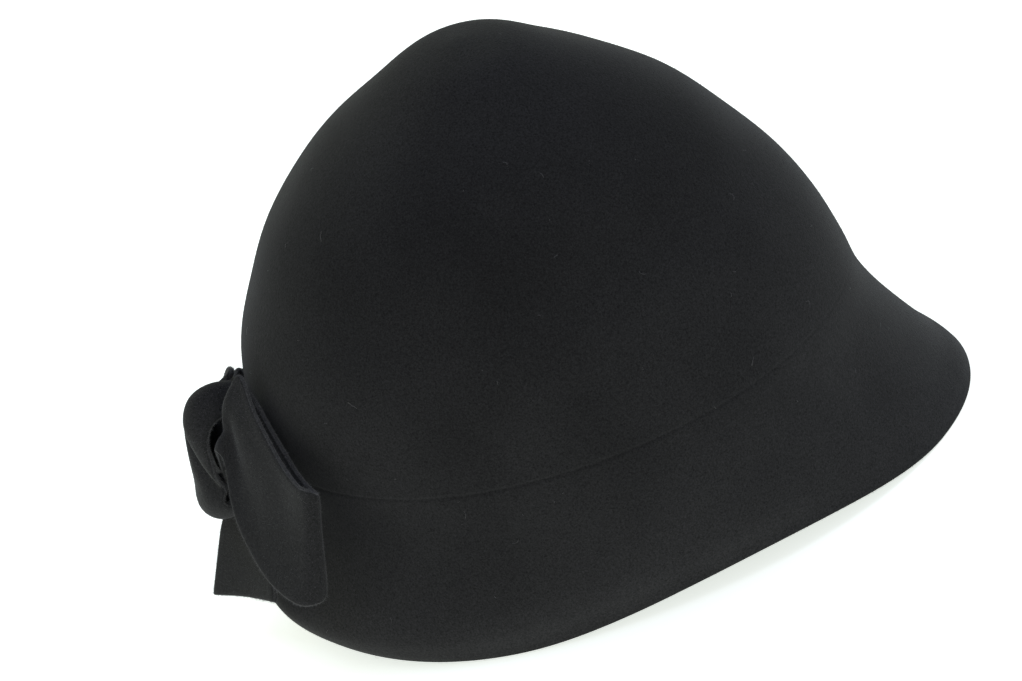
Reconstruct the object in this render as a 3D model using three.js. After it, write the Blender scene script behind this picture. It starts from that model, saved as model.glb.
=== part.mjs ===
// A cloche hat of black wool felt with a felt bow at the back, standing on its rim.
// Millimetres, +Z up, front towards -Y, the wearer's right side towards -X.
// The origin is on the surface that the hat stands on, under the middle of the hat and bow.

import * as THREE from 'three';
import { mergeVertices } from 'three/addons/utils/BufferGeometryUtils.js';

// ---- driving dimensions ----

const feltThickness = 2.4;
const bowFeltThickness = 2.2;
const hoodSides = 64;
const hoodRings = 23;

// The hood's levels from the rim to the tip of the crown. Each level is an oval, halfWidth across
// and halfLength from front to back, with its middle at centreY. The last row is the tip.
const hoodLevels = [
  { name: 'rim',          z: 0,     halfWidth: 86,   halfLength: 124.5, centreY: -10.5 },
  { name: 'brim edge',    z: 5,     halfWidth: 86.5, halfLength: 124,   centreY: -7 },
  { name: 'low brim',     z: 13,    halfWidth: 87.5, halfLength: 121,   centreY: -4.5 },
  { name: 'brim',         z: 31,    halfWidth: 88,   halfLength: 109.5, centreY: -4.5 },
  { name: 'brim root',    z: 48,    halfWidth: 88,   halfLength: 102,   centreY: -5 },
  { name: 'head line',    z: 63,    halfWidth: 87,   halfLength: 99,    centreY: -4.5 },
  { name: 'low crown',    z: 80,    halfWidth: 84.5, halfLength: 98,    centreY: -2.5 },
  { name: 'mid crown',    z: 98,    halfWidth: 80,   halfLength: 94.5,  centreY: 0.5 },
  { name: 'shoulder',     z: 115,   halfWidth: 73,   halfLength: 85.5,  centreY: 2.5 },
  { name: 'high crown',   z: 133,   halfWidth: 65,   halfLength: 72.5,  centreY: 3 },
  { name: 'crown',        z: 149,   halfWidth: 53,   halfLength: 56.5,  centreY: 2.5 },
  { name: 'cap',          z: 161.5, halfWidth: 38,   halfLength: 38.5,  centreY: 0.5 },
  { name: 'near tip',     z: 171.5, halfWidth: 20.5, halfLength: 19.5,  centreY: -1.5 },
  { name: 'tip',          z: 175,   halfWidth: 0,    halfLength: 0,     centreY: -2.5 },
];

// The crease between crown and brim.
const creaseZ = 62;
const creaseDepth = 1.2;
const creaseWidth = 3.5;

// Where the rim stands clear of the ground: it is cut shorter on each side and kicks up at the back.
const rimLifts = [
  { turn: 80,  lift: 7, span: 43 },
  { turn: 180, lift: 8, span: 60 },
];

// Soft dents of the blocked felt, each pushed in along the surface. Turn is measured from the
// front towards the wearer's right, in degrees.
const dents = [
  { turn: 170, z: 140, across: 26, up: 12, depth: 1.2 },
  { turn: 18,  z: 152, across: 26, up: 11, depth: 1.2 },
];

// One loop of the bow, from the outer layer's root round the fold to the inner layer's root. Each
// row is a line across the strip, from its top edge to its low edge. Belly bends the middle of the
// line outwards and pleat gathers it. The out column is the distance from the hat's middle plane,
// and leftTopZ is the top edge's height on the left loop, which flares less beside the knot.
const loopSections = [
  { name: 'outer root', topOut: 1.5, topY: 110,   topZ: 83,  leftTopZ: 83, lowOut: 1.5, lowY: 112,   lowZ: 63, belly: 0,   pleat: 1 },
  { name: 'held',       topOut: 7.5, topY: 109,   topZ: 84,  leftTopZ: 83, lowOut: 9,   lowY: 114,   lowZ: 64, belly: 0,   pleat: 1.2 },
  { name: 'off knot',   topOut: 12,  topY: 104.5, topZ: 100, leftTopZ: 88, lowOut: 14,  lowY: 117,   lowZ: 74, belly: 1,   pleat: 1.8 },
  { name: 'outer near', topOut: 23,  topY: 102,   topZ: 88,  leftTopZ: 84, lowOut: 22,  lowY: 119,   lowZ: 57, belly: 2,   pleat: 0.6 },
  { name: 'outer mid',  topOut: 36,  topY: 100.5, topZ: 76,  leftTopZ: 77, lowOut: 37,  lowY: 118,   lowZ: 42, belly: 2,   pleat: 0 },
  { name: 'outer end',  topOut: 47,  topY: 99,    topZ: 69,  leftTopZ: 71, lowOut: 48,  lowY: 113,   lowZ: 35, belly: 1.5, pleat: 0 },
  { name: 'fold',       topOut: 51,  topY: 95.5,  topZ: 68,  leftTopZ: 70, lowOut: 53,  lowY: 107,   lowZ: 35, belly: 0.5, pleat: 0 },
  { name: 'inner end',  topOut: 48,  topY: 92.5,  topZ: 70,  leftTopZ: 71, lowOut: 50,  lowY: 102,   lowZ: 36, belly: 0,   pleat: 0 },
  { name: 'inner mid',  topOut: 36,  topY: 95,    topZ: 77,  leftTopZ: 77, lowOut: 37,  lowY: 101.5, lowZ: 44, belly: 0,   pleat: 0 },
  { name: 'inner near', topOut: 23,  topY: 97,    topZ: 88,  leftTopZ: 83, lowOut: 23,  lowY: 103,   lowZ: 58, belly: 0,   pleat: 0.4 },
  { name: 'inner held', topOut: 9,   topY: 102.5, topZ: 84,  leftTopZ: 83, lowOut: 9,   lowY: 104.5, lowZ: 64, belly: 0,   pleat: 0.6 },
  { name: 'inner root', topOut: 1.5, topY: 103.5, topZ: 83,  leftTopZ: 83, lowOut: 1.5, lowY: 105,   lowZ: 63, belly: 0,   pleat: 0.6 },
];
const loopSteps = 30;
const stripSteps = 6;

// The band round the bow's middle, as an outline seen from the side, wound once round.
const knotSections = [
  { name: 'top back',   y: 101,   z: 87.5, halfWidth: 6.5 },
  { name: 'top',        y: 108,   z: 90.5, halfWidth: 7 },
  { name: 'top edge',   y: 116,   z: 89.5, halfWidth: 8 },
  { name: 'high face',  y: 120.5, z: 83,   halfWidth: 9 },
  { name: 'face',       y: 122.5, z: 74.5, halfWidth: 9.5 },
  { name: 'low face',   y: 124.5, z: 65,   halfWidth: 10.5 },
  { name: 'lip',        y: 127,   z: 58,   halfWidth: 11 },
  { name: 'under edge', y: 121.5, z: 53.5, halfWidth: 11 },
  { name: 'under',      y: 111,   z: 54,   halfWidth: 9.5 },
  { name: 'low back',   y: 103,   z: 57,   halfWidth: 8 },
  { name: 'back',       y: 99.5,  z: 66,   halfWidth: 7 },
  { name: 'high back',  y: 98.8,  z: 78,   halfWidth: 6.5 },
];
const knotSteps = 30;
const knotFold = { z: 72, slope: 1.1, width: 3.5, depth: 2.4 };

// The short end of felt below the knot, each row a line from its left edge to its right edge.
const tailSections = [
  { name: 'under knot', leftX: 10, leftY: 100,   leftZ: 51,   rightX: -12, rightY: 99.5,  rightZ: 51 },
  { name: 'bend',       leftX: 11, leftY: 110,   leftZ: 48,   rightX: -15, rightY: 107,   rightZ: 46 },
  { name: 'fall',       leftX: 11, leftY: 120,   leftZ: 43,   rightX: -18, rightY: 111.5, rightZ: 40 },
  { name: 'low fall',   leftX: 10, leftY: 127,   leftZ: 31,   rightX: -20, rightY: 114,   rightZ: 31 },
  { name: 'cut end',    leftX: 9,  leftY: 134,   leftZ: 17,   rightX: -22, rightY: 117,   rightZ: 23 },
];
const tailSteps = 10;
const tailBelly = -1.5;

const hoodFelt = new THREE.MeshStandardMaterial({ color: 0x222325, roughness: 0.95, metalness: 0 });
const bowFelt = new THREE.MeshStandardMaterial({ color: 0x2a2b2c, roughness: 0.95, metalness: 0 });

// ---- shared helpers ----

// A smooth value between the rows of a table, with u running from 0 to 1 over the rows. In a
// closed table the last row leads back to the first.
function between(rows, column, u, closed = false) {
  const spans = closed ? rows.length : rows.length - 1;
  const at = Math.min(u, 1) * spans;
  const i = Math.min(Math.floor(at), spans - 1);
  const f = at - i;
  const row = (k) => rows[(k + rows.length) % rows.length][column];
  const p1 = row(i);
  const p2 = row(i + 1);
  const p0 = closed || i > 0 ? row(i - 1) : 2 * p1 - p2;
  const p3 = closed || i + 2 < rows.length ? row(i + 2) : 2 * p2 - p1;
  const bend = 2 * p0 - 5 * p1 + 4 * p2 - p3;
  const twist = 3 * (p1 - p2) + p3 - p0;
  return p1 + 0.5 * f * (p2 - p0 + f * (bend + f * twist));
}

// The unit normal of a surface given as a function of u and v.
function surfaceNormal(surface, u, v, endless = false) {
  const step = 0.004;
  const low = endless ? u - step : Math.max(u - step, 0);
  const high = endless ? u + step : Math.min(u + step, 1);
  const along = surface(high, v).sub(surface(low, v));
  const across = surface(u, v + step).sub(surface(u, v - step));
  return along.cross(across).normalize();
}

function closedGeometry(triangles) {
  const geometry = new THREE.BufferGeometry();
  geometry.setAttribute('position', new THREE.Float32BufferAttribute(triangles.flat(2), 3));
  return mergeVertices(geometry, 1e-4);
}

// ---- hood: crown and brim in one piece of felt ----

function hoodSurface(u, turn) {
  const z = between(hoodLevels, 'z', u);
  const x = -between(hoodLevels, 'halfWidth', u) * Math.sin(turn);
  const y = between(hoodLevels, 'centreY', u) - between(hoodLevels, 'halfLength', u) * Math.cos(turn);
  const sideTurn = THREE.MathUtils.radToDeg(Math.acos(Math.cos(turn)));
  const aboveRim = THREE.MathUtils.clamp(1 - z / creaseZ, 0, 1);
  let lift = 0;
  for (const place of rimLifts) {
    const off = Math.min(Math.abs(sideTurn - place.turn) / place.span, 1);
    lift += place.lift * Math.cos(off * Math.PI / 2) ** 2 * aboveRim ** 2;
  }
  return new THREE.Vector3(x, y, z + lift);
}

function hoodDent(point, turn) {
  const creaseOff = (point.z - creaseZ) / creaseWidth;
  let depth = creaseDepth * Math.exp(-creaseOff * creaseOff);
  for (const dent of dents) {
    const apart = turn - THREE.MathUtils.degToRad(dent.turn);
    const swing = Math.atan2(Math.sin(apart), Math.cos(apart));
    const sideways = swing * Math.hypot(point.x, point.y) / dent.across;
    const upwards = (point.z - dent.z) / dent.up;
    depth += dent.depth * Math.exp(-sideways * sideways - upwards * upwards);
  }
  return depth;
}

function hoodRing(u, inset) {
  const ring = [];
  for (let j = 0; j < hoodSides; j++) {
    const turn = 2 * Math.PI * j / hoodSides;
    const point = hoodSurface(u, turn);
    const normal = surfaceNormal(hoodSurface, u, turn);
    const floor = point.z;
    point.addScaledVector(normal, -hoodDent(point, turn) - inset);
    if (u === 0) point.z = floor;
    ring.push(point.toArray());
  }
  return ring;
}

function hood() {
  const triangles = [];
  const quad = (a, b, c, d) => triangles.push([a, b, c], [a, c, d]);
  const skins = [0, feltThickness].map((inset) => {
    const rings = Array.from({ length: hoodRings }, (_, i) => hoodRing(i / hoodRings, inset));
    const tip = hoodSurface(1, 0).toArray();
    tip[2] -= inset;
    return { rings, tip };
  });
  const [outer, inner] = skins;
  for (let j = 0; j < hoodSides; j++) {
    const k = (j + 1) % hoodSides;
    for (let i = 0; i + 1 < hoodRings; i++) {
      const [low, high] = [outer.rings[i], outer.rings[i + 1]];
      quad(low[k], low[j], high[j], high[k]);
      const [inLow, inHigh] = [inner.rings[i], inner.rings[i + 1]];
      quad(inLow[j], inLow[k], inHigh[k], inHigh[j]);
    }
    const [last, inLast] = [outer.rings[hoodRings - 1], inner.rings[hoodRings - 1]];
    triangles.push([last[k], last[j], outer.tip], [inLast[j], inLast[k], inner.tip]);
    quad(outer.rings[0][j], outer.rings[0][k], inner.rings[0][k], inner.rings[0][j]);
  }
  const mesh = new THREE.Mesh(closedGeometry(triangles), hoodFelt);
  mesh.name = 'hood';
  return mesh;
}

// ---- bow: strips of the same felt ----

// A strip of felt of even thickness along a surface(u, v), u along it and v across it from 0 to 1.
function strip(name, surface, steps, closed = false) {
  const triangles = [];
  const quad = (a, b, c, d) => triangles.push([a, b, c], [a, c, d]);
  const rows = closed ? steps : steps + 1;
  const layer = (side) => Array.from({ length: rows }, (_, i) => {
    return Array.from({ length: stripSteps + 1 }, (_, j) => {
      const [u, v] = [i / steps, j / stripSteps];
      const normal = surfaceNormal(surface, u, v, closed);
      return surface(u, v).addScaledVector(normal, side * bowFeltThickness / 2).toArray();
    });
  });
  const [front, back] = [layer(1), layer(-1)];
  for (let i = 0; i < steps; i++) {
    const n = (i + 1) % rows;
    for (let j = 0; j < stripSteps; j++) {
      quad(front[i][j], front[n][j], front[n][j + 1], front[i][j + 1]);
      quad(back[i][j + 1], back[n][j + 1], back[n][j], back[i][j]);
    }
    const e = stripSteps;
    quad(front[i][0], back[i][0], back[n][0], front[n][0]);
    quad(front[n][e], back[n][e], back[i][e], front[i][e]);
  }
  for (let j = 0; j < stripSteps && !closed; j++) {
    quad(front[0][j], front[0][j + 1], back[0][j + 1], back[0][j]);
    quad(front[steps][j + 1], front[steps][j], back[steps][j], back[steps][j + 1]);
  }
  const mesh = new THREE.Mesh(closedGeometry(triangles), bowFelt);
  mesh.name = name;
  return mesh;
}

// A loop reaches towards the wearer's right with side -1 and towards the left with side 1.
function loopSurface(side) {
  const ruled = (u, v) => {
    const mix = (topColumn, lowColumn) => {
      const top = between(loopSections, topColumn, u);
      return top + v * (between(loopSections, lowColumn, u) - top);
    };
    const height = side < 0 ? mix('topZ', 'lowZ') : mix('leftTopZ', 'lowZ');
    return new THREE.Vector3(side * mix('topOut', 'lowOut'), mix('topY', 'lowY'), height);
  };
  return (u, v) => {
    const belly = between(loopSections, 'belly', u) * 4 * v * (1 - v);
    const pleat = between(loopSections, 'pleat', u) * Math.cos(3 * Math.PI * v);
    const normal = surfaceNormal(ruled, u, v);
    return ruled(u, v).addScaledVector(normal, -side * (belly + pleat));
  };
}

function knotSurface(u, v) {
  const at = ((u % 1) + 1) % 1;
  const x = (2 * v - 1) * between(knotSections, 'halfWidth', at, true);
  const y = between(knotSections, 'y', at, true);
  const z = between(knotSections, 'z', at, true);
  const faceOn = THREE.MathUtils.smoothstep(y, 117, 121);
  const off = (z - knotFold.z - knotFold.slope * x) / knotFold.width;
  return new THREE.Vector3(x, y - faceOn * knotFold.depth * Math.exp(-off * off), z);
}

function tailSurface(u, v) {
  const mix = (column) => {
    const left = between(tailSections, `left${column}`, u);
    return left + v * (between(tailSections, `right${column}`, u) - left);
  };
  const belly = tailBelly * 4 * v * (1 - v) * u;
  return new THREE.Vector3(mix('X'), mix('Y') + belly, mix('Z'));
}

const hat = new THREE.Group();
hat.add(
  hood(),
  strip('bow_loop_right', loopSurface(-1), loopSteps),
  strip('bow_loop_left', loopSurface(1), loopSteps),
  strip('bow_knot', knotSurface, knotSteps, true),
  strip('bow_tail', tailSurface, tailSteps),
);

export default hat;
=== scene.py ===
import math
from collections import namedtuple

import bpy
import numpy as np
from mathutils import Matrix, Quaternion, Vector, noise


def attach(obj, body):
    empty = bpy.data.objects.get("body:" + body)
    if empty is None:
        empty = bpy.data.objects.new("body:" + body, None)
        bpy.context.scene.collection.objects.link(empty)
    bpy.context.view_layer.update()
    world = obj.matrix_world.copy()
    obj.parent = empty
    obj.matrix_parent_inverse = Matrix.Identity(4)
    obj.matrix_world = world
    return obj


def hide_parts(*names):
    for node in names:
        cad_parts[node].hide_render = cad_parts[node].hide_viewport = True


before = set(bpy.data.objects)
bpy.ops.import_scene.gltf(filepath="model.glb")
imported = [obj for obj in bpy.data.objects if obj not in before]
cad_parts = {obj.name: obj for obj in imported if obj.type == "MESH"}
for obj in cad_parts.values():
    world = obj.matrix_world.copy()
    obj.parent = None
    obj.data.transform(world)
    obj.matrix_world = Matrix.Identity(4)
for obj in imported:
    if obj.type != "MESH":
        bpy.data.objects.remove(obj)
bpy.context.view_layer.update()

# ---- The studio ----
# A plain pale floor that the hat stands on and big soft boxes round it. The camera looks down at
# the hat's right side from a little behind it, and is leaned over so that the front rises.

FLOOR_SIZE = 14.0
FLOOR_Z = -0.0002
LOOK_AT = Vector((0.0, 0.0124, 0.0672))
CAMERA_AZIMUTH = math.radians(261.6)
CAMERA_ELEVATION = math.radians(28.1)
CAMERA_DISTANCE = 1.273
CAMERA_LEAN = math.radians(-18.85)

SKY_STRENGTH = 0.35
SKY_COLOUR = (1, 1, 1, 1)
FLOOR_GLOW = 0.76
FLOOR_GLOW_COLOUR = (0.95, 1, 0.94, 1)

SoftBox = namedtuple("SoftBox", "name place size watts colour")
SOFT_BOXES = [
    SoftBox("box_overhead", (0.2, 0.1, 1.7), 1.6, 12, (0.65, 0.74, 1)),
    SoftBox("box_before_brim", (-0.6, -1.8, 0.8), 1.0, 2, (0.3, 0.45, 1)),
    SoftBox("box_far_front", (1.6, -0.9, 0.9), 1.2, 3.6, (0.8, 1, 0.6)),
    SoftBox("box_far_back", (1.4, 1.2, 0.9), 1.2, 8, (0.92, 1, 0.55)),
]

scene = bpy.context.scene
scene.view_settings.view_transform = "Standard"

bpy.ops.object.select_all(action="DESELECT")
bpy.ops.mesh.primitive_plane_add(size=FLOOR_SIZE, location=(0, 0, FLOOR_Z))
floor = bpy.context.object
floor.name = "studio_floor"
floor_paint = bpy.data.materials.new("floor_paint")
floor_paint.use_nodes = True
floor_shader = floor_paint.node_tree.nodes["Principled BSDF"]
floor_shader.inputs["Base Color"].default_value = (0.9, 0.9, 0.9, 1)
floor_shader.inputs["Roughness"].default_value = 0.9
floor_shader.inputs["Specular IOR Level"].default_value = 0.1
floor_shader.inputs["Emission Color"].default_value = FLOOR_GLOW_COLOUR
floor_shader.inputs["Emission Strength"].default_value = FLOOR_GLOW
floor.data.materials.append(floor_paint)

sky = bpy.data.worlds.new("studio_walls")
sky.use_nodes = True
sky.node_tree.nodes["Background"].inputs["Color"].default_value = SKY_COLOUR
sky.node_tree.nodes["Background"].inputs["Strength"].default_value = SKY_STRENGTH
scene.world = sky


for box in SOFT_BOXES:
    light = bpy.data.lights.new(box.name, "AREA")
    light.shape = "SQUARE"
    light.size = box.size
    light.energy = box.watts
    light.color = box.colour
    lamp = bpy.data.objects.new(box.name, light)
    scene.collection.objects.link(lamp)
    lamp.location = box.place
    lamp.rotation_mode = "QUATERNION"
    lamp.rotation_quaternion = (LOOK_AT - Vector(box.place)).to_track_quat("-Z", "Y")

camera_data = bpy.data.cameras.new("studio_camera")
camera_data.lens = 136
camera = bpy.data.objects.new("studio_camera", camera_data)
scene.collection.objects.link(camera)
camera_back = Vector((
    math.sin(CAMERA_AZIMUTH) * math.cos(CAMERA_ELEVATION),
    -math.cos(CAMERA_AZIMUTH) * math.cos(CAMERA_ELEVATION),
    math.sin(CAMERA_ELEVATION),
))
camera.location = LOOK_AT + camera_back * CAMERA_DISTANCE
camera.rotation_mode = "QUATERNION"
camera.rotation_quaternion = (
    (-camera_back).to_track_quat("-Z", "Y") @ Quaternion((0, 0, 1), CAMERA_LEAN)
)
scene.camera = camera

# ---- The hood: crown and brim ----
# One piece of black wool felt, steamed and pulled over a block. The crown is a tall bell, a fine
# crease runs round it at head height, and the brim below turns down, longest in front. The edge
# is cut raw and is left unbound.

MM = 0.001
HOOD_FELT_THICKNESS = 2.4 * MM
HOOD_SIDES = 72
HOOD_RINGS = 34

# Levels from the rim to the tip, in millimetres: each is an oval with its middle at centre_y.
Level = namedtuple("Level", "z half_width half_length centre_y")
HOOD_LEVELS = [
    Level(0, 85.5, 124, -10.5),
    Level(5, 85.5, 124, -7.5),
    Level(13, 87, 120.5, -4.5),
    Level(31, 88, 110, -4),
    Level(48, 88, 103, -3.5),
    Level(63, 87, 101.5, -2.5),
    Level(80, 84.5, 100, 0),
    Level(98, 80, 94.5, 2),
    Level(115, 73, 84.5, 3),
    Level(133, 65, 72.5, 3.5),
    Level(149, 52.5, 56, 3),
    Level(161.5, 36.5, 36.5, 0),
    Level(171.5, 22, 18, -2.5),
    Level(175, 0, 0, -2.5),
]

CREASE_Z = 62
CREASE_DEPTH = 0.5
CREASE_SPREAD = (-1.8, -0.7, 0, 0.7, 1.8)

# Where the rim stands clear of the floor, by its turn from the front, in degrees.
RimLift = namedtuple("RimLift", "turn lift span")
RIM_LIFTS = [RimLift(80, 7, 43), RimLift(180, 8, 60)]

# Soft hollows left by handling. Turn goes from the front towards the wearer's right.
Dent = namedtuple("Dent", "turn z across up depth")
DENTS = [
    Dent(200, 143, 24, 11, 1.3),
    Dent(345, 163, 20, 9, 0.9),
    Dent(335, 146, 22, 10, 0.8),
    Dent(95, 128, 45, 28, 0.9),
    Dent(140, 92, 40, 24, 0.7),
    Dent(300, 100, 40, 26, 1.0),
    Dent(45, 34, 30, 16, 0.8),
]


def between(rows, column, u):
    """A smooth value between the rows of a table, with u from 0 to 1 over the rows."""
    at = min(u, 1.0) * (len(rows) - 1)
    i = min(int(at), len(rows) - 2)
    f = at - i
    p1 = getattr(rows[i], column)
    p2 = getattr(rows[i + 1], column)
    p0 = getattr(rows[i - 1], column) if i > 0 else 2 * p1 - p2
    p3 = getattr(rows[i + 2], column) if i + 2 < len(rows) else 2 * p2 - p1
    bend = 2 * p0 - 5 * p1 + 4 * p2 - p3
    twist = 3 * (p1 - p2) + p3 - p0
    return p1 + 0.5 * f * (p2 - p0 + f * (bend + f * twist))


def level_at(u):
    return Level(*(between(HOOD_LEVELS, column, u) * MM for column in Level._fields))


def u_at_height(z):
    low, high = 0.0, 1.0
    for _ in range(40):
        middle = (low + high) / 2
        if between(HOOD_LEVELS, "z", middle) < z:
            low = middle
        else:
            high = middle
    return low


def finish_with(piece, kind, **settings):
    """Gives the piece a modifier and applies it."""
    modifier = piece.modifiers.new(kind.lower(), kind)
    for name, value in settings.items():
        setattr(modifier, name, value)
    bpy.context.view_layer.objects.active = piece
    bpy.ops.object.modifier_apply(modifier=modifier.name)


# Painted shade by height over the rim in metres, against the felt's own colour: the rim keeps its
# full colour and the crown is painted darker, as the light falls on it.
PAINTED_SHADE_BY_HEIGHT = [(0, 1.0), (0.021, 0.78), (0.052, 0.66), (0.105, 0.62), (0.137, 0.48), (0.175, 0.7)]
PAINTED_SHADE_TOP = 0.175


def felt_material(name, dark, light, sheen, nap_depth, nap_tones=()):
    """Felt: matted fibres that catch the light one by one, on a dye that is a little uneven."""
    felt = bpy.data.materials.new(name)
    felt.use_nodes = True
    nodes, links = felt.node_tree.nodes, felt.node_tree.links
    shader = nodes["Principled BSDF"]
    shader.inputs["Roughness"].default_value = 0.92
    shader.inputs["Specular IOR Level"].default_value = 0.02
    shader.inputs["Sheen Weight"].default_value = sheen
    shader.inputs["Sheen Roughness"].default_value = 0.42
    coordinates = nodes.new("ShaderNodeTexCoord")

    def clouds(scale, detail, roughness, twist=0.0):
        cloud = nodes.new("ShaderNodeTexNoise")
        cloud.inputs["Scale"].default_value = scale
        cloud.inputs["Detail"].default_value = detail
        cloud.inputs["Roughness"].default_value = roughness
        cloud.inputs["Distortion"].default_value = twist
        links.new(coordinates.outputs["Object"], cloud.inputs["Vector"])
        return cloud.outputs["Fac"]

    matted = clouds(1700, 4, 0.62, 0.8)
    tufts = clouds(750, 3, 0.55, 0.5)
    patches = clouds(26, 3, 0.5)

    fibre_tone = nodes.new("ShaderNodeValToRGB")
    fibre_tone.color_ramp.elements[0].position = 0.32
    fibre_tone.color_ramp.elements[0].color = dark
    fibre_tone.color_ramp.elements[1].position = 0.72
    fibre_tone.color_ramp.elements[1].color = light
    links.new(matted, fibre_tone.inputs["Fac"])

    dye_tone = nodes.new("ShaderNodeMapRange")
    dye_tone.inputs["From Min"].default_value = 0.3
    dye_tone.inputs["From Max"].default_value = 0.7
    dye_tone.inputs["To Min"].default_value = 0.86
    dye_tone.inputs["To Max"].default_value = 1.12
    links.new(patches, dye_tone.inputs["Value"])

    dyed = nodes.new("ShaderNodeMix")
    dyed.data_type = "RGBA"
    dyed.blend_type = "MULTIPLY"
    dyed.inputs["Factor"].default_value = 1.0
    links.new(fibre_tone.outputs["Color"], dyed.inputs["A"])
    links.new(dye_tone.outputs["Result"], dyed.inputs["B"])
    colour = dyed.outputs["Result"]

    # Painted shade: the colour is multiplied by a ramp over height, darker up the crown than at the
    # rim.
    if nap_tones:
        place = nodes.new("ShaderNodeSeparateXYZ")
        links.new(coordinates.outputs["Object"], place.inputs["Vector"])
        height = nodes.new("ShaderNodeMath")
        height.operation = "DIVIDE"
        height.inputs[1].default_value = PAINTED_SHADE_TOP
        links.new(place.outputs["Z"], height.inputs[0])
        painted_shade_ramp = nodes.new("ShaderNodeValToRGB")
        painted_shade_ramp.color_ramp.interpolation = "B_SPLINE"
        stops = painted_shade_ramp.color_ramp.elements
        for at, tone in nap_tones[1:-1]:
            stops.new(at / PAINTED_SHADE_TOP)
        for stop, (at, tone) in zip(stops, nap_tones):
            stop.position = at / PAINTED_SHADE_TOP
            stop.color = (tone, tone, tone, 1)
        links.new(height.outputs["Value"], painted_shade_ramp.inputs["Fac"])
        toned = nodes.new("ShaderNodeMix")
        toned.data_type = "RGBA"
        toned.blend_type = "MULTIPLY"
        toned.inputs["Factor"].default_value = 1.0
        links.new(colour, toned.inputs["A"])
        links.new(painted_shade_ramp.outputs["Color"], toned.inputs["B"])
        colour = toned.outputs["Result"]
    links.new(colour, shader.inputs["Base Color"])

    tuft_bump = nodes.new("ShaderNodeBump")
    tuft_bump.inputs["Strength"].default_value = 0.5
    tuft_bump.inputs["Distance"].default_value = 0.2 * MM * nap_depth
    links.new(tufts, tuft_bump.inputs["Height"])
    fibre_bump = nodes.new("ShaderNodeBump")
    fibre_bump.inputs["Strength"].default_value = 0.6
    fibre_bump.inputs["Distance"].default_value = 0.14 * MM * nap_depth
    links.new(matted, fibre_bump.inputs["Height"])
    links.new(tuft_bump.outputs["Normal"], fibre_bump.inputs["Normal"])
    links.new(fibre_bump.outputs["Normal"], shader.inputs["Normal"])
    return felt


# The hood's felt carries the painted shade by height.
hood_felt = felt_material(
    "hood_felt", (0.019, 0.019, 0.019, 1), (0.052, 0.052, 0.052, 1), sheen=0.1, nap_depth=1.0,
    nap_tones=PAINTED_SHADE_BY_HEIGHT
)
hood_cut = felt_material(
    "hood_cut_edge", (0.017, 0.017, 0.017, 1), (0.049, 0.049, 0.049, 1), sheen=0.18, nap_depth=1.6
)

plain_rings = [i / HOOD_RINGS for i in range(HOOD_RINGS)]
clear_rings = [u for u in plain_rings if abs(between(HOOD_LEVELS, "z", u) - CREASE_Z) > 3]
crease_rings = [u_at_height(CREASE_Z + off) for off in CREASE_SPREAD]
rim_rings = [u_at_height(z) for z in (0.8, 2.4)]
hood_levels = [level_at(u) for u in sorted(clear_rings + crease_rings + rim_rings)]
hood_tip = level_at(1)

bpy.ops.object.select_all(action="DESELECT")
bpy.ops.mesh.primitive_circle_add(vertices=HOOD_SIDES, radius=1)
hood = bpy.context.object
hood.name = "felt_hood"
hood.data.materials.append(hood_felt)
hood.data.materials.append(hood_cut)
bpy.ops.object.mode_set(mode="EDIT")
bpy.ops.mesh.select_all(action="SELECT")
ring = hood_levels[0]
bpy.ops.transform.resize(value=(ring.half_width, ring.half_length, 1), center_override=(0, 0, 0))
bpy.ops.transform.translate(value=(0, ring.centre_y, ring.z))
for above in hood_levels[1:]:
    step = (0, above.centre_y - ring.centre_y, above.z - ring.z)
    bpy.ops.mesh.extrude_region_move(TRANSFORM_OT_translate={"value": step})
    bpy.ops.transform.resize(
        value=(above.half_width / ring.half_width, above.half_length / ring.half_length, 1),
        center_override=(0, above.centre_y, above.z),
    )
    ring = above
step = (0, hood_tip.centre_y - ring.centre_y, hood_tip.z - ring.z)
bpy.ops.mesh.extrude_region_move(TRANSFORM_OT_translate={"value": step})
bpy.ops.mesh.merge(type="CENTER")
bpy.ops.mesh.select_all(action="SELECT")
bpy.ops.mesh.normals_make_consistent(inside=False)
bpy.ops.object.mode_set(mode="OBJECT")

# The rim's lifts, the crease, the dents and the felt's slight unevenness.
moved = []
for vertex in hood.data.vertices:
    spot = vertex.co.copy()
    level = min(hood_levels, key=lambda ring: abs(ring.z - spot.z))
    turn = math.atan2(-spot.x / level.half_width, (level.centre_y - spot.y) / level.half_length)
    from_front = math.degrees(abs(turn))
    inward = 0.0
    height = spot.z / MM
    if abs(height - CREASE_Z) < 0.01:
        fade = min(from_front / 65, 1) ** 1.5
        inward += CREASE_DEPTH * fade * (0.75 + 0.25 * math.cos(3 * turn + 0.9))
    for dent in DENTS:
        apart = turn - math.radians(dent.turn)
        swing = math.atan2(math.sin(apart), math.cos(apart))
        sideways = swing * math.hypot(spot.x, spot.y) / MM / dent.across
        upwards = (height - dent.z) / dent.up
        inward += dent.depth * math.exp(-sideways ** 2 - upwards ** 2)
    inward += 0.7 * noise.noise(spot * 16) + 0.25 * noise.noise(spot * 45)
    spot -= vertex.normal * inward * MM
    above_rim = max(1 - height / CREASE_Z, 0)
    for place in RIM_LIFTS:
        off = min(abs(from_front - place.turn) / place.span, 1)
        spot.z += place.lift * MM * math.cos(off * math.pi / 2) ** 2 * above_rim ** 2
    moved.append(spot)
for vertex, spot in zip(hood.data.vertices, moved):
    vertex.co = spot

finish_with(
    hood, "SOLIDIFY", thickness=HOOD_FELT_THICKNESS, offset=-1, use_even_offset=True,
    use_rim=True, edge_crease_rim=0.55, material_offset_rim=1,
)
finish_with(hood, "SUBSURF", levels=2, render_levels=2)
for vertex in hood.data.vertices:
    vertex.co.z = max(vertex.co.z, 0)


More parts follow.
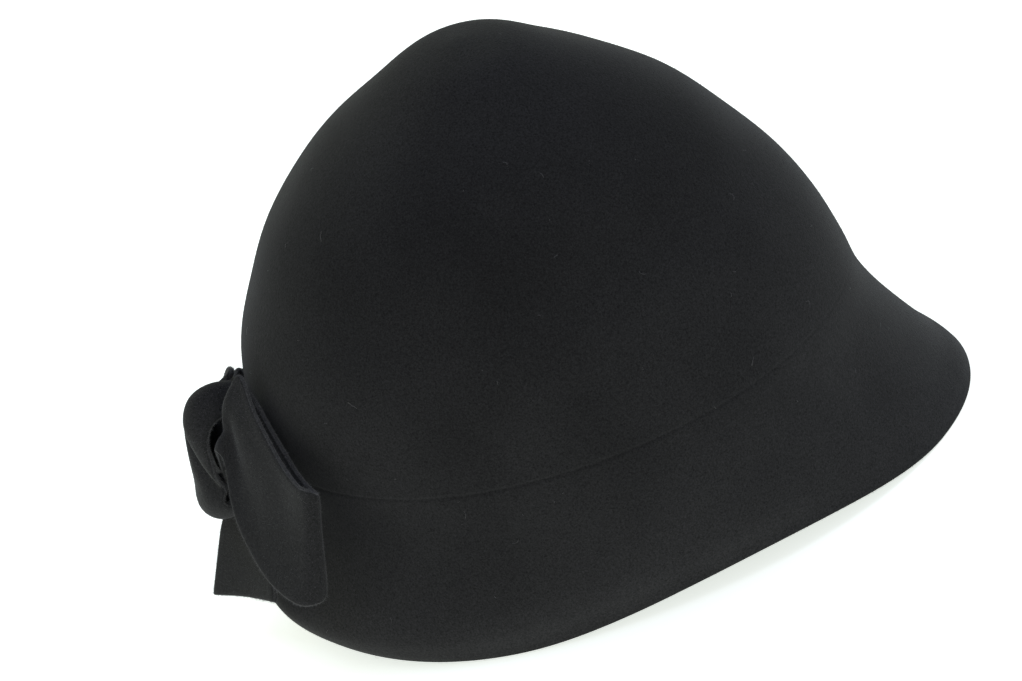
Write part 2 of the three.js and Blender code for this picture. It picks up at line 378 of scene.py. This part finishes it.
def dress(piece, node):
    """Smooths a finished piece and puts it in its CAD node's place."""
    bpy.ops.object.select_all(action="DESELECT")
    piece.select_set(True)
    bpy.context.view_layer.objects.active = piece
    bpy.ops.object.shade_smooth()
    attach(piece, "root")
    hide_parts(node)


dress(hood, "hood")

# ---- The bow's two loops ----
# Each is a flat strip cut from the same felt and folded back on itself, gathered under the knot
# and left to droop towards the rim. Its long edges are cut raw, and the fluffy pale line along them
# is a painted highlight, standing in for light caught in their fuzz.

BOW_FELT_THICKNESS = 2.2 * MM

# A row is a line across the strip, from its top edge to its low edge, on the way from the outer
# layer's root round the fold to the inner layer's root, in millimetres.
LoopRow = namedtuple("LoopRow", "top_out top_y top_z left_top_z low_out low_y low_z belly pleat")
LOOP_ROWS = [
    LoopRow(1.5, 107, 84, 83, 1.5, 111, 59, 0, 0.6),
    LoopRow(7, 105.5, 86, 83, 9, 116.5, 61, 0, 0.6),
    LoopRow(10.5, 103.5, 98.5, 89, 12.5, 116.5, 78, 0, 0.8),
    LoopRow(14, 101.2, 100.5, 91, 15, 115.5, 72, 0.3, 1.0),
    LoopRow(23, 101.5, 90.5, 87, 22, 119, 57, 0.8, 0.6),
    LoopRow(36, 100, 78.5, 78, 37, 118, 42, 0.9, 0),
    LoopRow(46, 98.5, 74, 72, 48, 113, 35.5, 0.8, 0),
    LoopRow(50.5, 95.8, 73, 71, 53, 107.5, 35, 0.3, 0),
    LoopRow(46.5, 94, 69, 69, 50, 103, 36, 0, 0),
    LoopRow(36, 96.8, 73.5, 73.5, 37, 103, 44, 0, 0),
    LoopRow(23, 98.3, 85, 82, 23, 105, 58, 0, 0.3),
    LoopRow(13, 99.8, 94, 86, 14, 107, 68, 0, 0.4),
    LoopRow(8, 102, 85, 82, 8.5, 105.5, 66, 0, 0.4),
    LoopRow(1.5, 103, 84, 83, 1.5, 105.5, 63, 0, 0.4),
]

BOW_CLEARANCE = 1.6
BOW_PRESS = 0.6


def hood_back(x, z):
    """How far back the outside of the hood reaches at this place, in millimetres."""
    height = z - RIM_LIFTS[1].lift * max(1 - z / CREASE_Z, 0) ** 2
    u = u_at_height(min(max(height, 0), 170))
    across = min(abs(x) / between(HOOD_LEVELS, "half_width", u), 0.99)
    reach = between(HOOD_LEVELS, "half_length", u) * math.sqrt(1 - across * across)
    return between(HOOD_LEVELS, "centre_y", u) + reach


bow_felt = felt_material(
    "bow_felt", (0.015, 0.015, 0.015, 1), (0.039, 0.039, 0.039, 1), sheen=0.14, nap_depth=1.4
)
# Paler than the bow's felt: a painted highlight along the cut edges, for light caught in their fuzz.
bow_edge_highlight_felt = felt_material(
    "bow_edge_painted_highlight", (0.028, 0.028, 0.028, 1), (0.08, 0.08, 0.08, 1), sheen=0.2, nap_depth=2.2
)


def strip_normal(place, u, v):
    step = 0.004
    along = place(min(u + step, 1), v) - place(max(u - step, 0), v)
    across = place(u, v + step) - place(u, v - step)
    return along.cross(across).normalized()


def felt_strip(name, place, along, across, closed=False):
    """A flat strip of felt, bent to the places that place(u, v) gives and then made thick."""
    bpy.ops.object.select_all(action="DESELECT")
    bpy.ops.mesh.primitive_grid_add(x_subdivisions=along, y_subdivisions=across, size=1)
    strip = bpy.context.object
    strip.name = name
    strip.data.materials.append(bow_felt)
    strip.data.materials.append(bow_edge_highlight_felt)
    for vertex in strip.data.vertices:
        u, v = vertex.co.x + 0.5, vertex.co.y + 0.5
        spot = place(u, v)
        wave = Vector((spot.x, spot.y, spot.z)) * 0.06
        spot += strip_normal(place, u, v) * 0.35 * noise.noise(wave)
        gap = spot.y - hood_back(spot.x, spot.z) - BOW_CLEARANCE
        spot.y += BOW_PRESS * math.log1p(math.exp(-gap / BOW_PRESS))
        vertex.co = spot * MM
    if closed:
        bpy.ops.object.mode_set(mode="EDIT")
        bpy.ops.mesh.select_all(action="SELECT")
        bpy.ops.mesh.remove_doubles(threshold=0.05 * MM)
        bpy.ops.mesh.normals_make_consistent(inside=False)
        bpy.ops.object.mode_set(mode="OBJECT")
    finish_with(
        strip, "SOLIDIFY", thickness=BOW_FELT_THICKNESS, offset=0, use_even_offset=False,
        use_rim=True, edge_crease_rim=0.5, material_offset_rim=1,
    )
    finish_with(strip, "SUBSURF", levels=2, render_levels=2)
    return strip


def loop_place(side):
    """The loop on the wearer's right has side -1, and the one on the left has side 1."""
    def ruled(u, v):
        def mix(top_column, low_column):
            top = between(LOOP_ROWS, top_column, u)
            return top + v * (between(LOOP_ROWS, low_column, u) - top)
        height = mix("top_z" if side < 0 else "left_top_z", "low_z")
        return Vector((side * mix("top_out", "low_out"), mix("top_y", "low_y"), height))

    def place(u, v):
        belly = between(LOOP_ROWS, "belly", u) * 4 * v * (1 - v)
        pleat = between(LOOP_ROWS, "pleat", u) * math.cos(3 * math.pi * v)
        return ruled(u, v) - strip_normal(ruled, u, v) * side * (belly + pleat)
    return place


right_loop = felt_strip("felt_loop_right", loop_place(-1), 52, 12)
dress(right_loop, "bow_loop_right")
left_loop = felt_strip("felt_loop_left", loop_place(1), 52, 12)
dress(left_loop, "bow_loop_left")

# ---- The knot ----
# A band of felt wound once round the middle of the bow. It is pulled tight, so a deep fold runs
# slantwise across its face, its edges tuck in and its lower end rolls outwards.

KnotRow = namedtuple("KnotRow", "y z half_width")
KNOT_ROWS = [
    KnotRow(101, 90, 6.5), KnotRow(109, 94, 7.5), KnotRow(117, 92.5, 8.5),
    KnotRow(122.5, 85.5, 10), KnotRow(124, 75, 11), KnotRow(125, 64, 12),
    KnotRow(126.5, 55, 12.5), KnotRow(121.5, 49.5, 12), KnotRow(111, 50.5, 10.5),
    KnotRow(103, 55, 8.5), KnotRow(99.5, 65, 7), KnotRow(99, 79, 6.5),
]
KNOT_FOLD_Z = 80
KNOT_FOLD_SLOPE = 1.7
KNOT_FOLD_WIDTH = 3.4
KNOT_FOLD_DEPTH = 4.2
KNOT_MIDDLE_Y = 110
KNOT_MIDDLE_Z = 72
KNOT_TUCK = 0.36


def knot_place(u, v):
    wound = u % 1
    rows = KNOT_ROWS[-1:] + KNOT_ROWS + KNOT_ROWS[:2]
    along = (1 + wound * len(KNOT_ROWS)) / (len(rows) - 1)
    x = (2 * v - 1) * between(rows, "half_width", along)
    y = between(rows, "y", along)
    z = between(rows, "z", along)
    face_on = min(max((y - 115) / 5, 0), 1)
    off = (z - KNOT_FOLD_Z - KNOT_FOLD_SLOPE * x) / KNOT_FOLD_WIDTH
    y -= face_on * KNOT_FOLD_DEPTH * math.exp(-off * off)
    tuck = 1 - KNOT_TUCK * (2 * v - 1) ** 2
    y = KNOT_MIDDLE_Y + tuck * (y - KNOT_MIDDLE_Y)
    z = KNOT_MIDDLE_Z + tuck * (z - KNOT_MIDDLE_Z)
    return Vector((x, y, z))


knot = felt_strip("felt_knot", knot_place, 60, 12, closed=True)
dress(knot, "bow_knot")

# ---- The tail ----
# A short end of the strip that comes out under the knot, bends and hangs down behind the right
# loop, with its lower edge cut straight.

TailRow = namedtuple("TailRow", "left_x left_y left_z right_x right_y right_z")
TAIL_ROWS = [
    TailRow(10, 100, 51, -12, 99.5, 51),
    TailRow(11, 110, 48, -15, 107, 46),
    TailRow(11, 120, 43, -18, 111.5, 40),
    TailRow(10, 127, 31, -20, 114, 31),
    TailRow(9, 134, 17, -22, 117, 23),
]
TAIL_BELLY = -1.5


def tail_place(u, v):
    def mix(axis):
        left = between(TAIL_ROWS, "left_" + axis, u)
        return left + v * (between(TAIL_ROWS, "right_" + axis, u) - left)
    return Vector((mix("x"), mix("y") + TAIL_BELLY * 4 * v * (1 - v) * u, mix("z")))


tail = felt_strip("felt_tail", tail_place, 16, 10)
dress(tail, "bow_tail")

# ---- Nap and lint ----
# Wool felt has a short fuzz of loose fibre ends, thickest along its cut edges, and black felt
# always carries a few pale hairs of lint. Each fibre is a closed needle of a few faces.

CUT_EDGE = 1


def felt_spots(piece, count, edge_share, rng, outside_of=None):
    """Random places on a piece: where each is and which way the felt faces there."""
    mesh = piece.data
    mesh.calc_loop_triangles()
    corners = np.empty(len(mesh.loop_triangles) * 3, np.int32)
    mesh.loop_triangles.foreach_get("vertices", corners)
    finish = np.empty(len(mesh.loop_triangles), np.int32)
    mesh.loop_triangles.foreach_get("material_index", finish)
    points = np.empty(len(mesh.vertices) * 3, np.float64)
    mesh.vertices.foreach_get("co", points)
    a, b, c = (points.reshape(-1, 3)[corners.reshape(-1, 3)[:, k]] for k in range(3))
    facing = np.cross(b - a, c - a)
    area = np.linalg.norm(facing, axis=1)
    facing = facing / np.maximum(area, 1e-12)[:, None]
    weight = area.copy()
    if outside_of is not None:
        weight[((a - np.array(outside_of)) * facing).sum(1) < 0] = 0
    edge = finish == CUT_EDGE
    weight[~edge] *= (1 - edge_share) / weight[~edge].sum()
    weight[edge] *= edge_share / weight[edge].sum()
    pick = rng.choice(len(weight), size=count, p=weight / weight.sum())
    mix = rng.dirichlet((1, 1, 1), size=count)
    spot = mix[:, :1] * a[pick] + mix[:, 1:2] * b[pick] + mix[:, 2:] * c[pick]
    return spot, facing[pick]


def crosswise(direction, rng):
    loose = np.cross(direction, rng.normal(size=direction.shape))
    first = loose / np.linalg.norm(loose, axis=1)[:, None]
    return first, np.cross(direction, first)


def fibre_mesh(name, corners, faces, finish):
    mesh = bpy.data.meshes.new(name)
    mesh.from_pydata(corners.tolist(), [], faces.tolist())
    mesh.materials.append(finish)
    piece = bpy.data.objects.new(name, mesh)
    scene.collection.objects.link(piece)
    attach(piece, "root")
    return piece


def nap(name, spots, facing, length, rng, finish, slot):
    """Short straight needles standing out of the felt, leaning at random."""
    count = len(spots)
    direction = facing + 0.75 * rng.normal(size=facing.shape)
    direction /= np.linalg.norm(direction, axis=1)[:, None]
    first, second = crosswise(direction, rng)
    reach = length * rng.uniform(0.45, 1.0, size=(count, 1))
    width = 0.028 * MM
    foot = spots - 0.15 * MM * facing
    ring = [
        foot + width * (math.cos(t) * first + math.sin(t) * second)
        for t in (0, 2 * math.pi / 3, 4 * math.pi / 3)
    ]
    tip = spots + reach * direction
    corners = np.stack([*ring, tip], axis=1).reshape(-1, 3)
    corners[:, 2] = np.maximum(corners[:, 2], 0.02 * MM)
    pattern = np.array([(0, 2, 1), (0, 1, 3), (1, 2, 3), (2, 0, 3)])
    faces = (pattern[None] + 4 * np.arange(count)[:, None, None]).reshape(-1, 3)
    return fibre_mesh(name, corners, faces, finish)


def nap_material(name, tone):
    wool = bpy.data.materials.new(name)
    wool.use_nodes = True
    wool_shader = wool.node_tree.nodes["Principled BSDF"]
    wool_shader.inputs["Base Color"].default_value = (tone, tone, tone, 1)
    wool_shader.inputs["Roughness"].default_value = 0.8
    wool_shader.inputs["Specular IOR Level"].default_value = 0.1
    return wool


hood_nap_wool = nap_material("hood_nap_wool", 0.044)
# The bow's fibres are painted pale: painted glints, thickest along the cut edges.
bow_nap_wool = nap_material("bow_nap_wool", 0.15)

rng = np.random.default_rng(1926)
hood_spots = felt_spots(hood, 36000, 0.12, rng, outside_of=(0, 0, 60 * MM))
nap("hood_nap", *hood_spots, 0.8 * MM, rng, hood_nap_wool, "hood_felt")
for piece, share in ((right_loop, 13000), (left_loop, 9000), (knot, 7000), (tail, 6000)):
    bow_spots = felt_spots(piece, share, 0.45, rng)
    name = piece.name.replace("felt", "nap")
    nap(name, *bow_spots, 1.1 * MM, rng, bow_nap_wool, "bow_felt")

lint_hair = bpy.data.materials.new("lint_hair")
lint_hair.use_nodes = True
lint_shader = lint_hair.node_tree.nodes["Principled BSDF"]
lint_shader.inputs["Base Color"].default_value = (0.20, 0.20, 0.20, 1)
lint_shader.inputs["Roughness"].default_value = 0.7

LINT_COUNT = 110
LINT_STEPS = 6
LINT_WIDTH = 0.028 * MM
spots, facing = felt_spots(hood, LINT_COUNT, 0.01, rng, outside_of=(0, 0, 60 * MM))
lint_corners, lint_faces = [], []
for spot, out in zip(spots, facing):
    along, aside = (way[0] for way in crosswise(out[None], rng))
    length = 0.5 * MM + 3.2 * MM * rng.uniform(0, 1) ** 2.5
    curl = rng.uniform(-1.2, 1.2)
    start = len(lint_corners)
    for i in range(LINT_STEPS + 1):
        t = i / LINT_STEPS
        angle = curl * t
        middle = spot + out * 0.12 * MM + out * 0.5 * MM * math.sin(math.pi * t) * rng.uniform(0.7, 1)
        middle = middle + length * t * (math.cos(angle) * along + math.sin(angle) * aside)
        for k in range(3):
            turn = 2 * math.pi * k / 3
            lint_corners.append(middle + LINT_WIDTH * (math.cos(turn) * aside + math.sin(turn) * out))
    for i in range(LINT_STEPS):
        low = start + 3 * i
        for k in range(3):
            n = (k + 1) % 3
            lint_faces.append((low + k, low + n, low + 3 + n))
            lint_faces.append((low + k, low + 3 + n, low + 3 + k))
    end = start + 3 * LINT_STEPS
    lint_faces.append((start + 2, start + 1, start))
    lint_faces.append((end, end + 1, end + 2))
fibre_mesh("lint", np.array(lint_corners), np.array(lint_faces), lint_hair)
